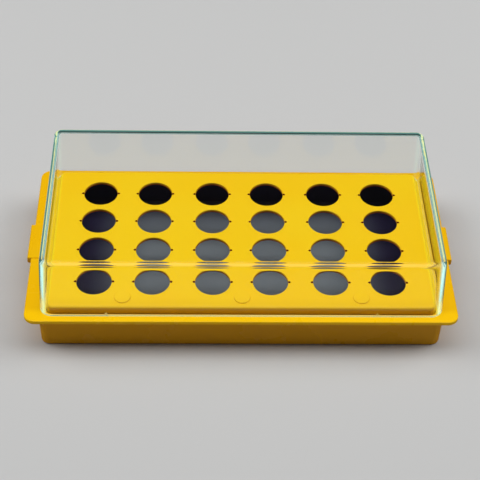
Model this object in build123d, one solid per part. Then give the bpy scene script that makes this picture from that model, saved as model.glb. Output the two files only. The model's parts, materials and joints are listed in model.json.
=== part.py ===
from build123d import *
import os

# A bench rack box for micro tubes: a shallow flanged base tray, a dark inner tray nested in it,
# a perforated deck that stands on the inner tray's rim, and a clear lid that drops over the deck
# and rests on the base tray's flange.
# Millimetres. Origin at the middle of the base tray's underside, X along the tray, Y to the back, Z up.

# Tube grid: three pairs of columns, four rows
column_pitch = 18.0
pair_pitch = 18.8
row_pitch = 13.15
pair_count = 3
row_count = 4
hole_diameter = 11.0
hole_lead_in = 0.2
notch_radius = 0.42
notch_reach = 0.34

# Base tray
flange_length = 133.4
flange_width = 69.0
flange_thickness = 1.4
flange_corner = 3.4
flange_edge_round = 0.3
base_height = 12.9
base_length = 125.1
base_width = 65.2
base_corner = 2.8
base_floor = 1.6
base_draft = 1.1
base_foot_round = 0.6
mouth_clearance = 0.2
floor_round = 0.8

# Grip tabs, one in the middle of each short side
tab_width = 15.2
tab_reach = 1.2
tab_lip = 1.5
tab_height = 2.4
tab_step = 0.25
tab_round = 0.5

# Inner tray
liner_clearance = 0.15
liner_wall = 1.4
liner_floor = 1.2
liner_rim_below_flange = 1.3

# Tube deck
deck_length = 119.8
deck_width = 61.3
deck_corner = 2.2
deck_proud = 2.6
deck_plate = 1.0
deck_skirt = 1.4
deck_edge_round = 0.9
rib_thickness = 1.2

# Lid
lid_length = 123.9
lid_width = 64.8
lid_height = 21.4
lid_corner = 3.8
lid_wall = 1.0
lid_roof = 1.1
lid_draft = 3.4
lid_edge_round = 1.0
lid_inner_round = 1.0
lid_rib_x = 41.6
lid_rib_width = 0.8
lid_rib_reach = 0.2
lid_rib_height = 1.0

# Levels and places that follow from the dimensions above
deck_top = base_height + deck_proud
deck_foot = base_height - liner_rim_below_flange
lid_top = base_height + lid_height
pair_xs = [(pair - (pair_count - 1) / 2) * (column_pitch + pair_pitch) for pair in range(pair_count)]
mouth_length = deck_length + 2 * mouth_clearance
mouth_width = deck_width + 2 * mouth_clearance
mouth_corner = deck_corner + mouth_clearance
column_xs = [x + side * column_pitch / 2 for x in pair_xs for side in (-1, 1)]
row_ys = [(row - (row_count - 1) / 2) * row_pitch for row in range(row_count)]
hole_places = [(x, y) for y in row_ys for x in column_xs]


def block_down(length, width, corner, top, depth, draft=0.0):
    """Rounded block hanging from the level top, narrower downwards by the draft angle."""
    face = Plane(origin=(0, 0, top), x_dir=(1, 0, 0), z_dir=(0, 0, -1))
    return extrude(face * RectangleRounded(length, width, corner), amount=depth, taper=draft)


def block_up(length, width, corner, bottom, height, draft=0.0):
    """Rounded block standing on the level bottom, narrower upwards by the draft angle."""
    face = Plane.XY.offset(bottom)
    return extrude(face * RectangleRounded(length, width, corner), amount=height, taper=draft)


def round_level(solid, level, radius):
    """Rounds every edge that lies flat at one level."""
    edges = solid.edges().filter_by_position(Axis.Z, level - 0.01, level + 0.01)
    return fillet(edges, radius)


def grip_tab(side):
    """A finger tab: a thin raised pad across the flange, ending in a lip turned down past its edge."""
    edge = flange_length / 2
    pad_start = lid_length / 2 + 0.6
    pad_top = base_height + tab_step
    pad = Pos(0, 0, pad_top) * Box(
        edge + tab_reach - pad_start, tab_width, tab_step + flange_thickness / 2,
        align=(Align.MIN, Align.CENTER, Align.MAX))
    lip = Pos(edge + tab_reach - pad_start - tab_lip, 0, pad_top) * Box(
        tab_lip, tab_width, tab_height,
        align=(Align.MIN, Align.CENTER, Align.MAX))
    tab = pad + lip
    outer = tab.faces().sort_by(Axis.X)[-1]
    tab = fillet(outer.edges().filter_by(Axis.Y), tab_round)
    tab = Pos(pad_start, 0, 0) * tab
    return tab if side > 0 else mirror(tab, about=Plane.YZ)


def make_base_tray():
    """Shallow drafted tray with a wide flange round its mouth and a grip tab on each short side."""
    body = block_down(base_length, base_width, base_corner, base_height, base_height, base_draft)
    body = round_level(body, 0, base_foot_round)
    flange = block_down(flange_length, flange_width, flange_corner, base_height, flange_thickness)
    flange = round_level(flange, base_height, flange_edge_round)
    flange = round_level(flange, base_height - flange_thickness, flange_edge_round)
    tray = body + flange + grip_tab(1) + grip_tab(-1)
    depth = base_height - base_floor
    hollow = block_down(mouth_length, mouth_width, mouth_corner, base_height, depth, base_draft)
    hollow = round_level(hollow, base_floor, floor_round)
    return tray - hollow


def make_liner_tray():
    """Dark tray nested in the base tray. Its rim carries the deck's skirt, and tubes stand on its floor."""
    gap = 2 * liner_clearance
    depth = deck_foot - base_floor
    outer = block_down(
        mouth_length - gap, mouth_width - gap, mouth_corner - gap / 2, deck_foot, depth, base_draft)
    outer = round_level(outer, base_floor, floor_round)
    inset = gap + 2 * liner_wall
    inner = block_down(
        mouth_length - inset, mouth_width - inset, 1.0, deck_foot, depth - liner_floor, base_draft)
    return outer - inner


def tube_hole():
    """Cutter for one tube hole: a bore with a small lead-in, and a round notch at each side along X."""
    radius = hole_diameter / 2
    bore = Pos(0, 0, deck_top - deck_plate / 2) * Cylinder(radius, 2 * deck_plate)
    lead_in = Pos(0, 0, deck_top - hole_lead_in) * Cone(
        radius, radius + 2 * hole_lead_in, 2 * hole_lead_in,
        align=(Align.CENTER, Align.CENTER, Align.MIN))
    cutter = bore + lead_in
    for side in (-1, 1):
        notch_x = side * (radius + notch_reach)
        cutter += Pos(notch_x, 0, deck_top - deck_plate / 2) * Cylinder(notch_radius, 2 * deck_plate)
    return cutter


def make_tube_deck():
    """Perforated plate with a rounded top edge and a short skirt. Two cross ribs stiffen it between pairs."""
    shell = block_down(deck_length, deck_width, deck_corner, deck_top, deck_top - deck_foot)
    shell = round_level(shell, deck_top, deck_edge_round)
    under_plate = deck_top - deck_plate
    hollow = block_down(
        deck_length - 2 * deck_skirt, deck_width - 2 * deck_skirt, deck_corner - deck_skirt,
        under_plate, under_plate - deck_foot)
    deck = shell - hollow
    for left, right in zip(pair_xs, pair_xs[1:]):
        deck += Pos((left + right) / 2, 0, under_plate) * Box(
            rib_thickness, deck_width - 2 * deck_skirt, under_plate - deck_foot,
            align=(Align.CENTER, Align.CENTER, Align.MAX))
    hole = tube_hole()
    return deck - [Pos(x, y, 0) * hole for x, y in hole_places]


def make_lid():
    """Clear open-bottomed cover. Four small ribs inside its long walls centre it on the deck."""
    outer = block_up(lid_length, lid_width, lid_corner, base_height, lid_height, lid_draft)
    outer = round_level(outer, lid_top, lid_edge_round)
    inner = block_up(
        lid_length - 2 * lid_wall, lid_width - 2 * lid_wall, lid_corner - lid_wall,
        base_height, lid_height - lid_roof, lid_draft)
    inner = round_level(inner, lid_top - lid_roof, lid_inner_round)
    lid = outer - inner
    for x_side in (-1, 1):
        for y_side in (-1, 1):
            rib_y = y_side * (lid_width / 2 - lid_wall - lid_rib_reach)
            outward = Align.MIN if y_side > 0 else Align.MAX
            lid += Pos(x_side * lid_rib_x, rib_y, base_height) * Box(
                lid_rib_width, lid_rib_reach + lid_wall / 2, lid_rib_height,
                align=(Align.CENTER, outward, Align.MIN))
    return lid


parts = {
    "base_tray": make_base_tray(),
    "liner_tray": make_liner_tray(),
    "tube_deck": make_tube_deck(),
    "lid": make_lid(),
}

os.makedirs("parts", exist_ok=True)
for name, solid in parts.items():
    export_step(solid, f"parts/{name}.step")
    print(name, "volume mm3", round(solid.volume, 1))
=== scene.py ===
"""A yellow bench box for micro tubes: flanged base tray, dark inner tray, perforated deck and clear lid.

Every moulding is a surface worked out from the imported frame's boxes and tube holes. Lengths are metres.
A moulding is a stack of rounded rectangles (its stations) joined by quads, and its station list is its
cross-section read from one end to the other.
"""

import json
import math

import bmesh
import bpy
import numpy as np
from mathutils import Matrix, Vector
from mathutils.geometry import tessellate_polygon


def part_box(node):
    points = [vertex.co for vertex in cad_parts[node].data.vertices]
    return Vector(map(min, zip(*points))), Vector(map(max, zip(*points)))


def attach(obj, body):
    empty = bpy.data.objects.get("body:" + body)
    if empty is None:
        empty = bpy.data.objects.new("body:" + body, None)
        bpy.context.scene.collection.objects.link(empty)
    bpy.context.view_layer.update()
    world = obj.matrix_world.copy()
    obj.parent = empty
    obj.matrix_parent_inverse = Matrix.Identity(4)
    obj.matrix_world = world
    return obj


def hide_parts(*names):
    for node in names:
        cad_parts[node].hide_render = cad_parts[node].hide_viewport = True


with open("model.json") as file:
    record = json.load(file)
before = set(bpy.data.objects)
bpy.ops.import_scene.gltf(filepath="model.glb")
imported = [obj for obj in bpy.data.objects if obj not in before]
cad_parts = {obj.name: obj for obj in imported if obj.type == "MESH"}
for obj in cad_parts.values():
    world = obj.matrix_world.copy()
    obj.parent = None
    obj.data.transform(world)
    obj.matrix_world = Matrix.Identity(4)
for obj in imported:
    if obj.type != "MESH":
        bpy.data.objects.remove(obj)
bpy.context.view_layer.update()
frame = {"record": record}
MM = 0.001

# ---------------------------------------------------------------- sizes read from the frame
_, tray_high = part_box("base_tray")
liner_low, liner_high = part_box("liner_tray")
deck_low, deck_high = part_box("tube_deck")
lid_low, lid_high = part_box("lid")
holes = [m for m in frame["record"]["mounts"] if m["kind"] == "bore"]
hole_centres = np.array([m["pos_m"][:2] for m in holes])
hole_radius = holes[0]["dims"]["r_mm"] * MM

flange_top = lid_low.z
deck_top = deck_high.z
lid_top = lid_high.z

# ---------------------------------------------------------------- details of the mouldings
TAB_STEP = 0.25 * MM
TAB_REACH = 1.2 * MM
TAB_WIDTH = 15.2 * MM
TAB_HEIGHT = 2.4 * MM
TAB_LIP = 1.5 * MM
TAB_START = 62.55 * MM
FLANGE_THICK = 1.4 * MM
FLANGE_CORNER = 3.4 * MM
FLANGE_ROUND = 0.3 * MM
BASE_HALF = (62.55 * MM, 32.6 * MM)
BASE_CORNER = 2.8 * MM
BASE_FLOOR = 1.6 * MM
BASE_DRAFT = math.tan(math.radians(1.1))
FOOT_ROUND = 0.6 * MM
FLOOR_ROUND = 0.8 * MM
MOUTH_GAP = 0.2 * MM
MOUTH_ROUND = 0.15 * MM
LINER_GAP = 0.15 * MM
LINER_WALL = 1.4 * MM
LINER_FLOOR = 1.2 * MM
DECK_CORNER = 2.2 * MM
DECK_PLATE = 1.0 * MM
DECK_SKIRT = 1.4 * MM
DECK_ROUND = 0.9 * MM
LIP_ROUND = 0.12 * MM
NOTCH_RADIUS = 0.42 * MM
NOTCH_REACH = 0.34 * MM
RIB_THICK = 1.2 * MM
RIB_X = 18.4 * MM
GATE_MARK_X = 36.8 * MM
GATE_MARK_Y = -26.3 * MM
GATE_MARK_RADIUS = 2.5 * MM
GATE_MARK_HEIGHT = 0.3 * MM
LID_CORNER = 3.8 * MM
LID_WALL = 1.0 * MM
LID_ROOF = 1.1 * MM
LID_DRAFT = math.tan(math.radians(3.4))
LID_ROUND = 1.0 * MM
LID_INNER_ROUND = 1.0 * MM
LID_RIM_ROUND = 0.2 * MM
LID_RIB_X = 41.6 * MM
LID_RIB_REACH = 0.2 * MM
LID_RIB_SPREAD = 0.64 * MM
LID_RIB_HEIGHT = 1.0 * MM
SUPPORT = 0.3 * MM
ARC_STEPS = 10
CORNER_STEPS = 14
HOLE_POINTS = 40
NOTCH_POINTS = 13
SMALLEST_RADIUS = 0.02 * MM

# ---------------------------------------------------------------- colours and finishes
# Colours are linear red, green, blue and alpha. A fade is the pair of depths below a moulding's level top
# between which its walls take on a deeper tone of painted shade.
TRAY_YELLOW = (0.88, 0.50, 0.002, 1)
TRAY_WARM = (0.88, 0.475, 0.001, 1)
# Painted shade tone of the tray's walls below the flange top.
TRAY_SHADE_TONE = (0.72, 0.33, 0.002, 1)
# Painted light: the flange's lighter front strip.
TRAY_FRONT_LIGHT = (1.0, 0.58, 0.001, 1)
# Painted light: the flange's lighter strips between the deck's ends and the lid's walls.
TRAY_STRIP_LIGHT = (1.0, 0.74, 0.02, 1)
TRAY_FADE = (0.3 * MM, 2.2 * MM)
TRAY_ROUGHNESS = 0.26
DECK_YELLOW = (0.98, 0.62, 0.007, 1)
DECK_WARM = (0.98, 0.59, 0.005, 1)
# Painted shade tone of the deck's walls below its top.
DECK_SHADE_TONE = (0.5, 0.11, 0.001, 1)
# Painted shade: a milder shade tone for the deck's long-side walls.
DECK_SIDE_SHADE = (0.68, 0.29, 0.002, 1)
# Painted light: a lighter tone for the deck's short ends.
DECK_END_LIGHT = (1.0, 0.71, 0.012, 1)
# Painted shade: a darker tone for the deck's front strip.
DECK_FRONT_SHADE = (0.86, 0.5, 0.004, 1)
DECK_FADE = (0.05 * MM, 0.8 * MM)
DECK_ROUGHNESS = 0.3
# Painted shade tone of the notches beside each hole.
NOTCH_SHADE_TONE = (0.42, 0.012, 0.001, 1)
YELLOW_IOR = 1.5
YELLOW_GRAIN = 2600.0
YELLOW_GRAIN_DEPTH = 0.004 * MM
YELLOW_DRIFT_SCALE = 28.0
HANDLING_DULLS = 0.12
# The inner tray's near-black walls, which is also the painted shade towards the floor's ends and back.
GREY_WALL_AND_SHADE = (0.014, 0.006, 0.05, 1)
GREY_FLOOR_TONES = ((0.23, 0.262, 0.295, 1), (0.255, 0.29, 0.325, 1))
GREY_ROUGHNESS = 0.6
GREY_GRAIN = 1800.0
GREY_GRAIN_DEPTH = 0.01 * MM
GREY_DRIFT_SCALE = 60.0
GREY_END_SHADE = (28 * MM, 51 * MM)
GREY_BACK_SHADE = (6 * MM, 40 * MM)
OPAQUE_SPECULAR = 0.25
CLEAR = (0.99, 1.0, 0.99, 1)
CLEAR_IOR = 1.55
CLEAR_REFLECTION = (0.2, 0.2, 0.2, 1)
CLEAR_SHADOW = (0.99, 1.0, 0.995, 1)
NO_GLOW = (0, 0, 0, 1)
# The edge tint is the plastic's own mint where it is thick. The glow colours and strength that follow are a
# painted glow on the lid's edges and a painted cream highlight on its front crest, and the cream tint goes
# with that highlight.
EDGE_TINT = (0.62, 0.95, 0.85, 1)
MINT_PAINTED_GLOW = (0.36, 0.84, 0.76, 1)
PAINTED_GLOW_STRENGTH = 0.45
CREST_HIGHLIGHT_TINT = (0.98, 0.9, 0.7, 1)
CREST_PAINTED_HIGHLIGHT = (0.95, 0.76, 0.5, 1)
FLOOR_GREY = (0.58, 0.58, 0.575, 1)
FLOOR_ROUGHNESS = 0.8
FLOOR_HALF = 4.0

# ---------------------------------------------------------------- lights and camera
# The camera's angles are degrees down, turned and rolled, and its place is in millimetres.
TOP_POWER = 4.2
TOP_PLACE = (0.0, 0.06, 0.85)
TOP_AIM = (0, 0.0599, 0)
TOP_SIZE = (1.2, 0.44)
SIDE_POWER = 4.3
SIDE_PLACE = (0.75, 0.15, 0.62)
SIDE_AIM = (0, 0, 0.02)
SIDE_SIZE = (0.7, 0.5)
SURROUND_COLOUR = (0.9, 0.95, 1.0, 1)
SURROUND_STRENGTH = 0.05
CAMERA_ANGLES = (44.491, 2.716, 2.207)
CAMERA_PLACE = (-14.4, -302.0, 311.1)
CAMERA_LENS = 98.44


# ---------------------------------------------------------------- surfaces
def corner_path(steps, fixed_x=()):
    """Points round a rounded rectangle, counterclockwise from the middle of its right side.

    Row: sign x, sign y, cos t, sin t, shift x, shift y. Corner k turns t through quarter k in equal steps.
    A support point follows and precedes each corner, shifted along its side. fixed_x adds points at those
    places on both long sides, as rows whose x is the shift alone.
    """
    rows = []
    for k, (sx, sy) in enumerate([(1, 1), (-1, 1), (-1, -1), (1, -1)]):
        turn = (k + np.linspace(0, 1, steps + 1)) * math.pi / 2
        arc = np.stack([np.full(steps + 1, sx), np.full(steps + 1, sy), np.cos(turn), np.sin(turn),
                        0 * turn, 0 * turn], axis=1)
        first, last = arc[0].copy(), arc[-1].copy()
        first[4:] = SUPPORT * np.array([math.sin(turn[0]), -math.cos(turn[0])])
        last[4:] = SUPPORT * np.array([-math.sin(turn[-1]), math.cos(turn[-1])])
        rows += [first[None], arc, last[None]]
        if sx * sy > 0 and len(fixed_x):
            places = np.sort(np.array(fixed_x))[::-sy]
            side = np.zeros((len(places), 6))
            side[:, 1], side[:, 3], side[:, 4] = sy, sy, places
            rows.append(side)
    return np.concatenate(rows)


def circle_path(steps):
    """Points round a circle, in the rows of corner_path, for outlines whose half sizes equal their radius."""
    turn = np.arange(steps) * 2 * math.pi / steps
    return np.stack([0 * turn, 0 * turn, np.cos(turn), np.sin(turn), 0 * turn, 0 * turn], axis=1)


def ring_points(path, stations):
    """Grid of points, one row per station (half x, half y, corner radius, height).

    x = sign (half x - radius) + radius cos t + shift, y likewise with sin t, z = height.
    """
    half_x, half_y, radius, height = (stations[:, i, None] for i in range(4))
    sign_x, sign_y, cosine, sine, shift_x, shift_y = path.T
    x = sign_x * (half_x - radius) + radius * cosine + shift_x
    y = sign_y * (half_y - radius) + radius * sine + shift_y
    return np.stack([x, y, height + 0 * x], axis=-1)


def ring_quads(rows, columns, start=0):
    """Quads of a grid of rows by columns points whose columns close into a ring."""
    i, j = np.meshgrid(np.arange(rows - 1), np.arange(columns), indexing="ij")
    k = (j + 1) % columns
    quads = np.stack([i * columns + j, i * columns + k, (i + 1) * columns + k, (i + 1) * columns + j], -1)
    return quads.reshape(-1, 4) + start


def inset(outline, out, height):
    """Station of an outline (half x, half y, radius) moved outwards by out, at a height."""
    half_x, half_y, radius = outline
    return [half_x + out, half_y + out, max(radius + out, SMALLEST_RADIUS), height]


def bend(outline, out, height, radius, start, end, steps=ARC_STEPS):
    """Stations along an arc of the cross-section, centred at (out, height), from start to end degrees."""
    turns = np.radians(np.linspace(start, end, steps + 1))
    return [inset(outline, out + radius * math.cos(t), height + radius * math.sin(t)) for t in turns]


def drafted(half, corner, top, slope):
    """Outline of a drafted wall as a function of height: it draws in by slope for each unit away from top."""
    def outline(height):
        shrink = abs(top - height) * slope
        return half[0] - shrink, half[1] - shrink, corner - shrink
    return outline


def solid_piece(name, points, faces, body, material, sharp=35):
    """Makes a closed mesh of the points and faces, turned outwards, smooth except over sharp degrees."""
    mesh = bpy.data.meshes.new(name)
    mesh.from_pydata(points.reshape(-1, 3).tolist(), [], faces)
    work = bmesh.new()
    work.from_mesh(mesh)
    bmesh.ops.recalc_face_normals(work, faces=work.faces)
    work.to_mesh(mesh)
    work.free()
    mesh.shade_smooth()
    mesh.set_sharp_from_angle(angle=math.radians(sharp))
    mesh.materials.append(material)
    piece = bpy.data.objects.new(name, mesh)
    bpy.context.scene.collection.objects.link(piece)
    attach(piece, body)
    return piece


def capped_rings(path, stations, shape=None):
    """Points and faces of a stack of stations closed by a flat cap at each end. shape may move the points."""
    points = ring_points(path, np.array(stations))
    if shape is not None:
        points = shape(points)
    rows, columns = points.shape[:2]
    faces = ring_quads(rows, columns).tolist()
    faces.append(list(range(columns)))
    faces.append(list(range((rows - 1) * columns, rows * columns)))
    return points.reshape(-1, 3), faces


# ---------------------------------------------------------------- materials
def link(tree, source, target):
    """Joins two sockets, or sets a plain value on the target."""
    if isinstance(source, bpy.types.NodeSocket):
        tree.links.new(source, target)
    else:
        target.default_value = source


def math_node(tree, operation, *values):
    """One Math node; its result is its output socket."""
    n = tree.nodes.new("ShaderNodeMath")
    n.operation = operation
    for i, value in enumerate(values):
        link(tree, value, n.inputs[i])
    return n.outputs[0]


def noise_node(tree, vector, scale, detail=3.0, roughness=0.5):
    """Fractal noise of a vector, about 0.5 on average."""
    n = tree.nodes.new("ShaderNodeTexNoise")
    n.inputs["Scale"].default_value = scale
    n.inputs["Detail"].default_value = detail
    n.inputs["Roughness"].default_value = roughness
    link(tree, vector, n.inputs["Vector"])
    return n.outputs["Fac"]


def ramp_node(tree, value, low, high, out_low=0.0, out_high=1.0):
    """Smooth step of a value from low to high, between two results."""
    n = tree.nodes.new("ShaderNodeMapRange")
    n.interpolation_type = "SMOOTHSTEP"
    for name, x in (("From Min", low), ("From Max", high), ("To Min", out_low), ("To Max", out_high)):
        n.inputs[name].default_value = x
    link(tree, value, n.inputs["Value"])
    return n.outputs["Result"]


def mix_colour(tree, share, first, second):
    """Colour between two, by a share socket."""
    n = tree.nodes.new("ShaderNodeMix")
    n.data_type = "RGBA"
    link(tree, share, n.inputs[0])
    link(tree, first, n.inputs[6])
    link(tree, second, n.inputs[7])
    return n.outputs[2]


def axis_of(tree, vector, axis):
    """One axis of a vector."""
    n = tree.nodes.new("ShaderNodeSeparateXYZ")
    tree.links.new(vector, n.inputs[0])
    return n.outputs[axis]


def product(tree, *values):
    """Product of its values, taken in turn."""
    total = values[0]
    for value in values[1:]:
        total = math_node(tree, "MULTIPLY", total, value)
    return total


def largest(tree, *values):
    """Largest of its values, taken in turn."""
    total = values[0]
    for value in values[1:]:
        total = math_node(tree, "MAXIMUM", total, value)
    return total


def absolute(tree, value):
    """A value without its sign."""
    return math_node(tree, "ABSOLUTE", value)


def object_place(tree):
    """Object coordinates, which are the frame's own metres."""
    return tree.nodes.new("ShaderNodeTexCoord").outputs["Object"]


def new_group(name, inputs, outputs):
    """An empty shader group with named sockets, given as (name, socket type, default)."""
    group = bpy.data.node_groups.new(name, "ShaderNodeTree")
    for label, kind, default in inputs:
        socket = group.interface.new_socket(name=label, in_out="INPUT", socket_type=kind)
        if default is not None:
            socket.default_value = default
    for label, kind in outputs:
        group.interface.new_socket(name=label, in_out="OUTPUT", socket_type=kind)
    return group, group.nodes.new("NodeGroupInput").outputs, group.nodes.new("NodeGroupOutput").inputs


def make_moulded_grain():
    """Group: the fine texture that a tool leaves on moulded plastic, as a height, over a broad unevenness."""
    group, given, result = new_group(
        "moulded_grain", [("Place", "NodeSocketVector", None), ("Grain", "NodeSocketFloat", YELLOW_GRAIN)],
        [("Height", "NodeSocketFloat")])
    broad_scale, broad_share = 90.0, 4.0
    fine = group.nodes.new("ShaderNodeTexNoise")
    fine.inputs["Detail"].default_value = 2.0
    group.links.new(given["Place"], fine.inputs["Vector"])
    group.links.new(given["Grain"], fine.inputs["Scale"])
    broad = noise_node(group, given["Place"], broad_scale, 1.0)
    height = math_node(group, "MULTIPLY_ADD", broad, broad_share, fine.outputs["Fac"])
    group.links.new(height, result["Height"])
    return group


def make_handling_marks():
    """Group: where hands and benches have dulled a part, as a mask: soft smudges plus hair-fine scuffs."""
    group, given, result = new_group(
        "handling_marks", [("Place", "NodeSocketVector", None)], [("Mask", "NodeSocketFloat")])
    smudge_scale, smudge_span = 45.0, (0.45, 0.75)
    scuff_turn, scuff_stretch, scuff_span = 0.6, (40.0, 1600.0, 400.0), (0.68, 0.78)
    smudges = ramp_node(group, noise_node(group, given["Place"], smudge_scale, 4.0, 0.6), *smudge_span)
    stretch = group.nodes.new("ShaderNodeMapping")
    stretch.inputs["Rotation"].default_value = (0.0, 0.0, scuff_turn)
    stretch.inputs["Scale"].default_value = scuff_stretch
    group.links.new(given["Place"], stretch.inputs["Vector"])
    scuffs = ramp_node(group, noise_node(group, stretch.outputs["Vector"], 1.0, 2.0), *scuff_span)
    group.links.new(math_node(group, "ADD", smudges, scuffs), result["Mask"])
    return group


def make_notch_shade():
    """Group: painted shade on the walls of the small notches beside each hole, as a mask.

    Places are folded onto one hole by the pitches of the pairs and rows. A notch's wall lies below the
    deck's top, close to its row's line, and further from the hole's centre than the hole's own wall.
    """
    group, given, result = new_group(
        "notch_shade", [("Place", "NodeSocketVector", None)], [("Mask", "NodeSocketFloat")])
    place = given["Place"]
    columns = np.unique(hole_centres[:, 0].round(6))
    rows = np.unique(hole_centres[:, 1].round(6))
    pair, row, half_column = columns[2] - columns[0], rows[1] - rows[0], (columns[1] - columns[0]) / 2
    beyond_span, near_span = (0.02 * MM, 0.08 * MM), (0.56 * MM, 0.66 * MM)
    below_span = (deck_top - 0.12 * MM, deck_top - 0.04 * MM)
    folded = math_node(group, "WRAP", axis_of(group, place, "X"), pair / 2, -pair / 2)
    across = absolute(group, math_node(group, "SUBTRACT", absolute(group, folded), half_column))
    shifted = math_node(group, "SUBTRACT", axis_of(group, place, "Y"), row / 2)
    along = absolute(group, math_node(group, "WRAP", shifted, row / 2, -row / 2))
    squares = math_node(group, "ADD", product(group, across, across), product(group, along, along))
    away = math_node(group, "SUBTRACT", math_node(group, "SQRT", squares), hole_radius)
    beyond = ramp_node(group, away, *beyond_span)
    near = ramp_node(group, along, *near_span, 1.0, 0.0)
    below = ramp_node(group, axis_of(group, place, "Z"), *below_span, 1.0, 0.0)
    group.links.new(product(group, beyond, near, below), result["Mask"])
    return group


def make_lid_edges():
    """Group: where the lid's painted glow goes, as a mask: the roof's edge, the upright corners and the rim.

    With e the distance to the outer wall along the nearer side and h the height below the roof, the roof's
    edge is where e + h is small: a broad band at the ends and back, and a narrow crest all round. An upright
    corner is where both distances are small. Behind is 0 on the front's crest and 1 elsewhere.
    """
    group, given, result = new_group(
        "lid_edges", [("Place", "NodeSocketVector", None)],
        [("Mask", "NodeSocketFloat"), ("Behind", "NodeSocketFloat")])
    band_span, crest_span = (1.1 * MM, 1.9 * MM), (0.62 * MM, 0.9 * MM)
    corner_span, rim_span = (1.0 * MM, 2.6 * MM), (0.1 * MM, 0.5 * MM)
    band_share, crest_share, upright_share, rim_share = (0.02, 0.65), 0.32, (0.7, 0.12), 0.6
    front_span = (lid_low.y + 2 * MM, lid_low.y + 6 * MM)
    behind_span = (lid_low.y + 2 * MM, lid_low.y + 4 * MM)
    ends_span, low_span = (deck_high.x - 4 * MM, deck_high.x), (1.5 * MM, 2.5 * MM)
    place = given["Place"]
    back, up = axis_of(group, place, "Y"), axis_of(group, place, "Z")
    rise = math_node(group, "SUBTRACT", up, lid_low.z)
    inward = math_node(group, "MULTIPLY", rise, LID_DRAFT)
    gaps = []
    for axis, half in (("X", lid_high.x), ("Y", lid_high.y)):
        wall = math_node(group, "SUBTRACT", half, inward)
        gaps.append(math_node(group, "SUBTRACT", wall, absolute(group, axis_of(group, place, axis))))
    drop = math_node(group, "SUBTRACT", lid_top, up)
    near = math_node(group, "ADD", math_node(group, "MINIMUM", *gaps), drop)
    top = ramp_node(group, near, *band_span, 1.0, 0.0)
    front = ramp_node(group, back, *front_span, *band_share)
    crest = ramp_node(group, near, *crest_span, crest_share, 0.0)
    corner = ramp_node(group, math_node(group, "MAXIMUM", *gaps), *corner_span, 1.0, 0.0)
    upright = ramp_node(group, back, 0.0, lid_high.y / 2, *upright_share)
    rim = ramp_node(group, rise, *rim_span, 1.0, 0.0)
    mask = largest(group, product(group, top, front), crest, product(group, corner, upright),
                   product(group, rim, rim_share))
    group.links.new(mask, result["Mask"])
    behind = ramp_node(group, back, *behind_span)
    ends = ramp_node(group, absolute(group, axis_of(group, place, "X")), *ends_span)
    low = ramp_node(group, drop, *low_span)
    group.links.new(largest(group, behind, ends, low), result["Behind"])
    return group


def use_group(tree, group, **values):
    """Places a group and returns its outputs."""
    n = tree.nodes.new("ShaderNodeGroup")
    n.node_tree = group
    for label, value in values.items():
        link(tree, value, n.inputs[label])
    return n.outputs


def new_material(name):
    """A material with one Principled shader, with its tree and the shader's node."""
    material = bpy.data.materials.new(name)
    material.use_nodes = True
    tree = material.node_tree
    shader = next(n for n in tree.nodes if n.type == "BSDF_PRINCIPLED")
    return material, tree, shader


def grain_bump(tree, shader, place, grain, depth):
    """Bump from the moulded grain, depth in metres."""
    bump = tree.nodes.new("ShaderNodeBump")
    bump.inputs["Distance"].default_value = depth
    bump.inputs["Strength"].default_value = 1.0
    height = use_group(tree, moulded_grain, Place=place, Grain=grain)["Height"]
    tree.links.new(height, bump.inputs["Height"])
    tree.links.new(bump.outputs["Normal"], shader.inputs["Normal"])


def tray_painted_light(tree, place, depth, shaded):
    """The base tray's painted light: a lighter front strip on the flange, and lighter strips between deck and
    lid ends.
    """
    # Painted light: the flange's front strip is lighter.
    front = ramp_node(tree, axis_of(tree, place, "Y"), lid_low.y + 1.0 * MM, lid_low.y + 4.0 * MM, 1.0, 0.0)
    front = product(tree, front, math_node(tree, "SUBTRACT", 1.0, depth))
    shaded = mix_colour(tree, front, shaded, TRAY_FRONT_LIGHT)
    # Painted light: the flange strips between the deck's ends and the lid's walls are lighter.
    end = absolute(tree, axis_of(tree, place, "X"))
    side = absolute(tree, axis_of(tree, place, "Y"))
    inside_lid = ramp_node(tree, end, lid_high.x - 1.2 * MM, lid_high.x - 0.6 * MM, 1.0, 0.0)
    outside_deck = ramp_node(tree, end, deck_high.x - 0.2 * MM, deck_high.x)
    within = ramp_node(tree, side, deck_high.y - 0.6 * MM, deck_high.y + 0.6 * MM, 1.0, 0.0)
    return mix_colour(tree, product(tree, inside_lid, outside_deck, within), shaded, TRAY_STRIP_LIGHT)


def deck_painted_light_and_shade(tree, place, depth, shaded):
    """The deck's painted light and shade: milder shade on its long sides, lighter ends, shaded notches, a
    darker front strip.
    """
    end = absolute(tree, axis_of(tree, place, "X"))
    side = absolute(tree, axis_of(tree, place, "Y"))
    # Painted shade: the long sides' walls take a milder shade tone.
    long_side = ramp_node(tree, side, deck_high.y - 1.2 * MM, deck_high.y - 0.6 * MM)
    shaded = mix_colour(tree, product(tree, long_side, depth), shaded, DECK_SIDE_SHADE)
    # Painted light: the deck's short ends are lighter.
    short_end = ramp_node(tree, end, deck_high.x - 1.2 * MM, deck_high.x - 0.6 * MM)
    shaded = mix_colour(tree, short_end, shaded, DECK_END_LIGHT)
    # Painted shade in the notches beside each hole.
    notches = use_group(tree, notch_shade, Place=place)["Mask"]
    shaded = mix_colour(tree, notches, shaded, NOTCH_SHADE_TONE)
    # Painted shade: a darker strip along the deck's front.
    front = ramp_node(tree, axis_of(tree, place, "Y"), deck_low.y + 0.5 * MM, deck_low.y + 5.0 * MM, 0.5, 0.0)
    return mix_colour(tree, front, shaded, DECK_FRONT_SHADE)


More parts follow.
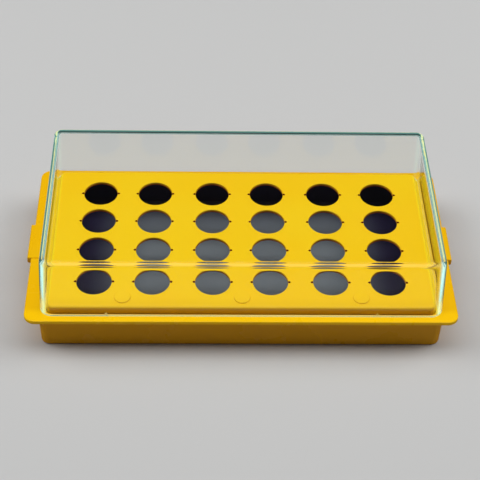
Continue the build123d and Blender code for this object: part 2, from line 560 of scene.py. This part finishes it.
def make_yellow_plastic(name, colours, top, fade, roughness, add_painted_light_and_shade):
    """Glossy yellow polystyrene: colour drifts a little to a warmer tone, handling dulls the gloss.

    Below the lit level top its walls are painted a deeper orange as shade, redder as light through the
    plastic would make it. colours are the plain, warmer and painted shade tones. The last argument adds the
    painted light and shade of the moulding's own places.
    """
    plain, warm, shade_tone = colours
    material, tree, shader = new_material(name)
    place = object_place(tree)
    drift = ramp_node(tree, noise_node(tree, place, YELLOW_DRIFT_SCALE, 2.0), 0.35, 0.65)
    face = mix_colour(tree, drift, plain, warm)
    # Painted shade: below its level top a moulding's walls darken towards the shade tone.
    depth = ramp_node(tree, axis_of(tree, place, "Z"), top - fade[1], top - fade[0], 1.0, 0.0)
    shaded = add_painted_light_and_shade(tree, place, depth, mix_colour(tree, depth, face, shade_tone))
    tree.links.new(shaded, shader.inputs["Base Color"])
    marks = use_group(tree, handling_marks, Place=place)["Mask"]
    dulled = math_node(tree, "MULTIPLY_ADD", marks, HANDLING_DULLS, roughness)
    tree.links.new(dulled, shader.inputs["Roughness"])
    shader.inputs["IOR"].default_value = YELLOW_IOR
    shader.inputs["Specular IOR Level"].default_value = OPAQUE_SPECULAR
    grain_bump(tree, shader, place, YELLOW_GRAIN, YELLOW_GRAIN_DEPTH)
    return material


def make_grey_plastic():
    """Inner tray: near-black walls and a grey floor, darkened towards its ends and back by painted shade."""
    material, tree, shader = new_material("dark_grey_plastic")
    place = object_place(tree)
    floor = liner_low.z + LINER_FLOOR
    end = absolute(tree, axis_of(tree, place, "X"))
    low = ramp_node(tree, axis_of(tree, place, "Z"), floor + 0.3 * MM, floor + 1.2 * MM, 1.0, 0.0)
    # Painted shade: the floor darkens towards its ends and back.
    ends = ramp_node(tree, end, *GREY_END_SHADE, 1.0, 0.04)
    back = ramp_node(tree, axis_of(tree, place, "Y"), *GREY_BACK_SHADE, 1.0, 0.1)
    drift = ramp_node(tree, noise_node(tree, place, GREY_DRIFT_SCALE, 3.0), 0.3, 0.7)
    grey = mix_colour(tree, drift, *GREY_FLOOR_TONES)
    tone = mix_colour(tree, product(tree, ends, back, low), GREY_WALL_AND_SHADE, grey)
    tree.links.new(tone, shader.inputs["Base Color"])
    shader.inputs["Roughness"].default_value = GREY_ROUGHNESS
    shader.inputs["Specular IOR Level"].default_value = OPAQUE_SPECULAR
    grain_bump(tree, shader, place, GREY_GRAIN, GREY_GRAIN_DEPTH)
    return material


def make_clear_plastic():
    """Polished clear polystyrene with a painted faint mint glow along its edges and a painted cream highlight
    along the front crest.

    Light for what is inside passes straight through, so the deck is lit.
    """
    material, tree, shader = new_material("clear_plastic")
    shader.inputs["Roughness"].default_value = 0.0
    shader.inputs["IOR"].default_value = CLEAR_IOR
    shader.inputs["Transmission Weight"].default_value = 1.0
    shader.inputs["Specular Tint"].default_value = CLEAR_REFLECTION
    lit = use_group(tree, lid_edges, Place=object_place(tree))
    # Painted light: a mint glow on the lid's edges and a cream highlight on its front crest.
    tint = mix_colour(tree, lit["Behind"], CREST_HIGHLIGHT_TINT, EDGE_TINT)
    glow = mix_colour(tree, lit["Behind"], CREST_PAINTED_HIGHLIGHT, MINT_PAINTED_GLOW)
    tree.links.new(mix_colour(tree, lit["Mask"], CLEAR, tint), shader.inputs["Base Color"])
    tree.links.new(mix_colour(tree, lit["Mask"], NO_GLOW, glow), shader.inputs["Emission Color"])
    shader.inputs["Emission Strength"].default_value = PAINTED_GLOW_STRENGTH
    clear = tree.nodes.new("ShaderNodeBsdfTransparent")
    clear.inputs["Color"].default_value = CLEAR_SHADOW
    path = tree.nodes.new("ShaderNodeLightPath")
    passed = largest(tree, path.outputs["Is Shadow Ray"], path.outputs["Is Diffuse Ray"])
    mix = tree.nodes.new("ShaderNodeMixShader")
    tree.links.new(passed, mix.inputs[0])
    tree.links.new(shader.outputs[0], mix.inputs[1])
    tree.links.new(clear.outputs[0], mix.inputs[2])
    out = next(n for n in tree.nodes if n.type == "OUTPUT_MATERIAL")
    tree.links.new(mix.outputs[0], out.inputs["Surface"])
    return material


moulded_grain = make_moulded_grain()
handling_marks = make_handling_marks()
lid_edges = make_lid_edges()
notch_shade = make_notch_shade()
tray_yellow = make_yellow_plastic(
    "tray_yellow_plastic", (TRAY_YELLOW, TRAY_WARM, TRAY_SHADE_TONE), flange_top, TRAY_FADE,
    TRAY_ROUGHNESS, tray_painted_light)
deck_yellow = make_yellow_plastic(
    "deck_yellow_plastic", (DECK_YELLOW, DECK_WARM, DECK_SHADE_TONE), deck_top, DECK_FADE,
    DECK_ROUGHNESS, deck_painted_light_and_shade)
dark_grey = make_grey_plastic()
clear_plastic = make_clear_plastic()


# ---------------------------------------------------------------- mouldings
def mouth_outline(clear, top):
    """Drafted opening of the base tray, drawn in by clear, as a function of height down from top."""
    half = (deck_high.x + MOUTH_GAP - clear, deck_high.y + MOUTH_GAP - clear)
    return drafted(half, max(DECK_CORNER + MOUTH_GAP - clear, 0.8 * MM), top, BASE_DRAFT)


def make_base_tray():
    """Base tray: foot, drafted wall, flange and mouth, then back down the inside to the floor."""
    wall = drafted(BASE_HALF, BASE_CORNER, flange_top, BASE_DRAFT)
    inside = mouth_outline(0, flange_top)
    flange = (tray_high.x - TAB_REACH, tray_high.y, FLANGE_CORNER)
    under = flange_top - FLANGE_THICK
    edge, mouth = FLANGE_ROUND, MOUTH_ROUND
    stations = [inset(wall(0), -FOOT_ROUND - SUPPORT, 0)]
    stations += bend(wall(0), -FOOT_ROUND, FOOT_ROUND, FOOT_ROUND, -90, 0)
    stations += [inset(wall(FOOT_ROUND + SUPPORT), 0, FOOT_ROUND + SUPPORT)]
    stations += bend(wall(under), edge, under - edge, edge, 180, 90, 4)
    stations += bend(flange, -edge, under + edge, edge, -90, 0, 4)
    stations += bend(flange, -edge, flange_top - edge, edge, 0, 90, 4)
    stations += [inset(flange, -edge - SUPPORT, flange_top)]
    stations += [inset(inside(flange_top), mouth + SUPPORT / 2, flange_top)]
    stations += bend(inside(flange_top), mouth, flange_top - mouth, mouth, 90, 180, 4)
    level = BASE_FLOOR + FLOOR_ROUND
    stations += bend(inside(BASE_FLOOR), -FLOOR_ROUND, level, FLOOR_ROUND, 0, -90, 5)
    stations += [inset(inside(BASE_FLOOR), -FLOOR_ROUND - SUPPORT, BASE_FLOOR)]
    points, faces = capped_rings(corner_path(CORNER_STEPS), stations)
    tray = solid_piece("base_tray_shell", points, faces, "base", tray_yellow)
    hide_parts("base_tray")


def make_grip_tab(side):
    """Finger tab: a thin pad across the flange ending in a lip turned down past its edge.

    Its cross-section in XZ is carried along Y, the two end rings drawn in for a rounded edge.
    """
    reach = tray_high.x
    top = flange_top + TAB_STEP
    low = top - TAB_HEIGHT
    soft = 0.45 * MM
    turns = np.radians(np.linspace(90, 0, 6))
    upper = np.stack([reach - soft + soft * np.cos(turns), top - soft + soft * np.sin(turns)], axis=1)
    lower = np.stack([reach - soft + soft * np.sin(turns), low + soft - soft * np.cos(turns)], axis=1)
    lower = lower[np.argsort(-lower[:, 1])]
    start = np.array([[TAB_START, flange_top - FLANGE_THICK / 2], [TAB_START, top]])
    inner = np.array([[reach - TAB_LIP, low], [reach - TAB_LIP, flange_top - FLANGE_THICK / 2]])
    section = np.concatenate([start, upper, lower, inner])
    centre = section.mean(axis=0)
    ease = 0.15 * MM
    half = TAB_WIDTH / 2
    ends = [(-half, ease), (-half + ease, 0), (half - ease, 0), (half, ease)]
    rings = []
    for y, draw in ends:
        shift = np.clip(centre - section, -draw, draw)
        ring = section + shift
        rings.append(np.stack([side * ring[:, 0], np.full(len(ring), y), ring[:, 1]], axis=1))
    columns = len(section)
    faces = ring_quads(len(ends), columns).tolist()
    faces.append(list(range(columns)))
    faces.append(list(range((len(ends) - 1) * columns, len(ends) * columns)))
    name = "grip_tab_right" if side > 0 else "grip_tab_left"
    solid_piece(name, np.array(rings), faces, "base", tray_yellow, 25)


def make_liner_tray():
    """Inner tray: nested in the base with a small gap, rim at the deck's foot."""
    foot, rim, floor = liner_low.z, liner_high.z, liner_low.z + LINER_FLOOR
    outer = mouth_outline(LINER_GAP, rim)
    inner = mouth_outline(LINER_GAP + LINER_WALL, rim)
    soft, fillet = 0.3 * MM, 1.0 * MM
    stations = [inset(outer(foot), -FLOOR_ROUND - SUPPORT, foot)]
    stations += bend(outer(foot), -FLOOR_ROUND, foot + FLOOR_ROUND, FLOOR_ROUND, -90, 0, 5)
    stations += bend(outer(rim), -soft, rim - soft, soft, 0, 90, 4)
    stations += bend(inner(rim), soft, rim - soft, soft, 90, 180, 4)
    stations += bend(inner(floor), -fillet, floor + fillet, fillet, 0, -90, 6)
    stations += [inset(inner(floor), -fillet - SUPPORT, floor)]
    points, faces = capped_rings(corner_path(8), stations)
    liner = solid_piece("liner_tray_shell", points, faces, "base", dark_grey)
    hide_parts("liner_tray")


def make_lid():
    """Clear cover: roof, drafted walls and rim. Four small ribs in its long walls centre it on the deck."""
    low, high = lid_low, lid_high
    wall = drafted((high.x, high.y), LID_CORNER, low.z, LID_DRAFT)
    inside = drafted((high.x - LID_WALL, high.y - LID_WALL), LID_CORNER - LID_WALL, low.z, LID_DRAFT)
    roof = high.z - LID_ROOF
    rim = LID_RIM_ROUND
    stations = [inset(wall(high.z), -LID_ROUND - SUPPORT, high.z)]
    stations += bend(wall(high.z), -LID_ROUND, high.z - LID_ROUND, LID_ROUND, 90, -3)
    stations += [inset(wall(high.z - 2 * LID_ROUND), 0, high.z - 2 * LID_ROUND)]
    stations += [inset(wall(low.z + LID_ROUND), 0, low.z + LID_ROUND)]
    stations += bend(wall(low.z), -rim, low.z + rim, rim, 0, -90, 4)
    stations += bend(inside(low.z), rim, low.z + rim, rim, -90, -180, 4)
    for share in (0.4, 0.6, 0.8, 0.9, 1.0, 1.1, 1.5):
        height = low.z + share * LID_RIB_HEIGHT
        stations += [inset(inside(height), 0, height)]
    below = roof - 2 * LID_INNER_ROUND
    stations += [inset(inside(below), 0, below)]
    stations += bend(inside(roof), -LID_INNER_ROUND, roof - LID_INNER_ROUND, LID_INNER_ROUND, 3, 90, 6)
    stations += [inset(inside(roof), -LID_INNER_ROUND - SUPPORT, roof)]
    across = np.linspace(-1, 1, 9) * LID_RIB_SPREAD
    fixed_x = np.concatenate([-LID_RIB_X + across, LID_RIB_X + across])

    def with_ribs(points):
        """Moves the inner wall in at each rib: a rounded bump across x that fades out above rib height."""
        inner_side = np.abs(points[..., 1]) < np.abs(points[..., 1]).max(axis=0) - LID_WALL / 2
        inner_side &= points[..., 2] < roof - LID_INNER_ROUND
        away = (np.abs(points[..., 0]) - LID_RIB_X) / LID_RIB_SPREAD
        bump = np.clip(1 - away ** 2, 0, 1) ** 2
        fade = np.clip((low.z + LID_RIB_HEIGHT - points[..., 2]) / (0.4 * LID_RIB_HEIGHT), 0, 1)
        flat_side = np.abs(points[..., 0]) < high.x - 2 * LID_CORNER
        move = LID_RIB_REACH * bump * fade * (inner_side & flat_side)
        points[..., 1] -= np.sign(points[..., 1]) * move
        return points

    points, faces = capped_rings(corner_path(CORNER_STEPS, fixed_x), stations, with_ribs)
    lid = solid_piece("clear_lid", points, faces, "lid", clear_plastic, 50)
    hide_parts("lid")


def hole_outline(out):
    """One tube hole's outline about its centre, moved outwards by out: a circle and a round notch each side.

    The circle of radius R and the notch circle of radius a, its centre at distance c along X, cross where
    cos t = (R^2 + c^2 - a^2) / 2Rc seen from the hole and cos u = (R cos t - c) / a seen from the notch.
    """
    radius, small, centre = hole_radius + out, NOTCH_RADIUS + out, hole_radius + NOTCH_REACH
    crossing = (radius ** 2 + centre ** 2 - small ** 2) / (2 * radius * centre)
    hole_turn = math.acos(crossing)
    notch_turn = math.acos((radius * crossing - centre) / small)
    notch = np.linspace(-notch_turn, notch_turn, NOTCH_POINTS)
    side = np.linspace(hole_turn, math.pi - hole_turn, HOLE_POINTS)[1:-1]
    x = np.concatenate([centre + small * np.cos(notch), radius * np.cos(side)])
    y = np.concatenate([small * np.sin(notch), radius * np.sin(side)])
    return np.concatenate([x, -x]), np.concatenate([y, -y])


def deck_ribs(under, foot):
    """Two cross ribs under the plate, between the pairs of columns, as closed rounded bars."""
    soft = 0.15 * MM
    outline = (RIB_THICK / 2, deck_high.y - DECK_SKIRT + soft, soft)
    stations = [inset(outline, -0.5 * soft, foot), inset(outline, 0, foot + soft)]
    stations += [inset(outline, 0, under + soft), inset(outline, -0.5 * soft, under + 2 * soft)]
    points, faces = capped_rings(corner_path(3), stations)
    return [(points + np.array([x, 0, 0]), faces) for x in (-RIB_X, RIB_X)]


def gate_marks():
    """Three low round pads on the deck's front strip, left where the mould was filled."""
    outline = (GATE_MARK_RADIUS, GATE_MARK_RADIUS, GATE_MARK_RADIUS)
    soft = 0.12 * MM
    level = deck_top + GATE_MARK_HEIGHT
    stations = [inset(outline, 0, deck_top - soft)]
    stations += bend(outline, -soft, level - soft, soft, 0, 90, 4) + [inset(outline, -SUPPORT, level)]
    points, faces = capped_rings(circle_path(48), stations)
    return [(points + np.array([x, GATE_MARK_Y, 0]), faces) for x in (-GATE_MARK_X, 0, GATE_MARK_X)]


def make_tube_deck():
    """Deck: a plate with a rounded edge and short skirt, pierced by notched holes with a rounded lip.

    Each hole is a band from the plate's underside up its wall and over its lip. The edge is a band from
    the plate's top round its edge, down the skirt and back up inside. The flat top and underside between
    the bands are filled with triangles.
    """
    outline = (deck_high.x, deck_high.y, DECK_CORNER)
    under = deck_top - DECK_PLATE
    foot = deck_low.z
    soft = 0.2 * MM
    edge = [inset(outline, -DECK_ROUND - SUPPORT, deck_top)]
    edge += bend(outline, -DECK_ROUND, deck_top - DECK_ROUND, DECK_ROUND, 90, 0)
    edge += [inset(outline, 0, deck_top - DECK_ROUND - SUPPORT)]
    edge += bend(outline, -soft, foot + soft, soft, 0, -90, 3)
    edge += bend(outline, soft - DECK_SKIRT, foot + soft, soft, -90, -180, 3)
    edge += [inset(outline, -DECK_SKIRT, under + SUPPORT), inset(outline, -DECK_SKIRT, under)]
    path = corner_path(CORNER_STEPS)
    edge_points = ring_points(path, np.array(edge))
    edge_rows, edge_columns = edge_points.shape[:2]

    lip = np.radians(np.linspace(0, 90, 5))
    outs = [0.0, *(LIP_ROUND * (1 - np.cos(lip))), LIP_ROUND + SUPPORT / 3]
    heights = [under, *(deck_top - LIP_ROUND + LIP_ROUND * np.sin(lip)), deck_top]
    columns = 2 * (HOLE_POINTS + NOTCH_POINTS - 2)
    band = np.stack([np.stack([*hole_outline(out), np.full(columns, height)], axis=-1)
                     for out, height in zip(outs, heights)])
    centres = np.concatenate([hole_centres, np.zeros((len(hole_centres), 1))], axis=1)
    bands = centres[:, None, None, :] + band[None]
    rows = len(outs)
    size = rows * columns

    faces = ring_quads(edge_rows, edge_columns).tolist()
    start = edge_rows * edge_columns
    for number in range(len(centres)):
        faces += ring_quads(rows, columns, start + number * size).tolist()
    top_loops = [np.arange(edge_columns)]
    under_loops = [np.arange(edge_columns) + (edge_rows - 1) * edge_columns]
    for number in range(len(centres)):
        first = start + number * size
        under_loops.append(first + np.arange(columns))
        top_loops.append(first + (rows - 1) * columns + np.arange(columns))
    points = np.concatenate([edge_points.reshape(-1, 3), bands.reshape(-1, 3)])
    for loops in (top_loops, under_loops):
        corners = np.concatenate(loops)
        triangles = tessellate_polygon([[Vector(p) for p in points[loop].tolist()] for loop in loops])
        faces += corners[np.array(triangles)].tolist()
    for shell_points, shell_faces in deck_ribs(under, foot) + gate_marks():
        faces += [[corner + len(points) for corner in face] for face in shell_faces]
        points = np.concatenate([points, shell_points])
    deck = solid_piece("tube_deck_plate", points, faces, "deck", deck_yellow, 30)
    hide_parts("tube_deck")


def make_floor():
    """Plain pale floor, wide enough to fill every view. The lid doesn't mirror it."""
    mesh = bpy.data.meshes.new("studio_floor")
    corners = [(x * FLOOR_HALF, y * FLOOR_HALF, 0) for x, y in ((-1, -1), (1, -1), (1, 1), (-1, 1))]
    mesh.from_pydata(corners, [], [(0, 1, 2, 3)])
    floor = bpy.data.objects.new("studio_floor", mesh)
    bpy.context.scene.collection.objects.link(floor)
    material, _, shader = new_material("pale_floor")
    shader.inputs["Base Color"].default_value = FLOOR_GREY
    shader.inputs["Roughness"].default_value = FLOOR_ROUGHNESS
    mesh.materials.append(material)
    floor.visible_glossy = False


def area_light(name, place, aim, size, power):
    """A white oblong softbox at place, facing aim."""
    data = bpy.data.lights.new(name, "AREA")
    data.shape = "RECTANGLE"
    data.size, data.size_y = size
    data.energy = power
    lamp = bpy.data.objects.new(name, data)
    bpy.context.scene.collection.objects.link(lamp)
    lamp.location = place
    lamp.rotation_euler = (Vector(aim) - Vector(place)).to_track_quat("-Z", "Y").to_euler()
    return lamp


def make_lights():
    """One broad softbox above, one on each side and a little behind, and a dim even surround.

    The side softboxes aren't seen in or through the lid, or they would fill its roof in the side views.
    """
    area_light("top_softbox", TOP_PLACE, TOP_AIM, TOP_SIZE, TOP_POWER)
    out, back, up = SIDE_PLACE
    for name, place in (("left_softbox", (-out, back, up)), ("right_softbox", (out, back, up))):
        lamp = area_light(name, place, SIDE_AIM, SIDE_SIZE, SIDE_POWER)
        lamp.visible_glossy = False
        lamp.visible_transmission = False
    world = bpy.data.worlds.new("studio")
    world.use_nodes = True
    background = world.node_tree.nodes["Background"]
    background.inputs["Color"].default_value = SURROUND_COLOUR
    background.inputs["Strength"].default_value = SURROUND_STRENGTH
    bpy.context.scene.world = world
    bpy.context.scene.view_settings.view_transform = "Standard"


def make_camera():
    """Long lens looking down on the front long side, turned and rolled a little."""
    down, turn, roll = (math.radians(angle) for angle in CAMERA_ANGLES)
    place = Vector(CAMERA_PLACE) * MM
    forward = Vector((math.sin(turn) * math.cos(down), math.cos(turn) * math.cos(down), -math.sin(down)))
    level = Vector((math.cos(turn), -math.sin(turn), 0))
    raised = level.cross(forward)
    right = math.cos(roll) * level + math.sin(roll) * raised
    up = math.cos(roll) * raised - math.sin(roll) * level
    data = bpy.data.cameras.new("camera")
    data.sensor_width = 36.0
    data.lens = CAMERA_LENS
    data.clip_start = 0.01
    data.clip_end = 20.0
    camera = bpy.data.objects.new("camera", data)
    bpy.context.scene.collection.objects.link(camera)
    axes = Matrix((right, up, -forward)).transposed().to_4x4()
    camera.matrix_world = Matrix.Translation(place) @ axes
    bpy.context.scene.camera = camera


make_camera()
make_lights()
make_floor()
make_base_tray()
make_grip_tab(1)
make_grip_tab(-1)
make_liner_tray()
make_tube_deck()
make_lid()
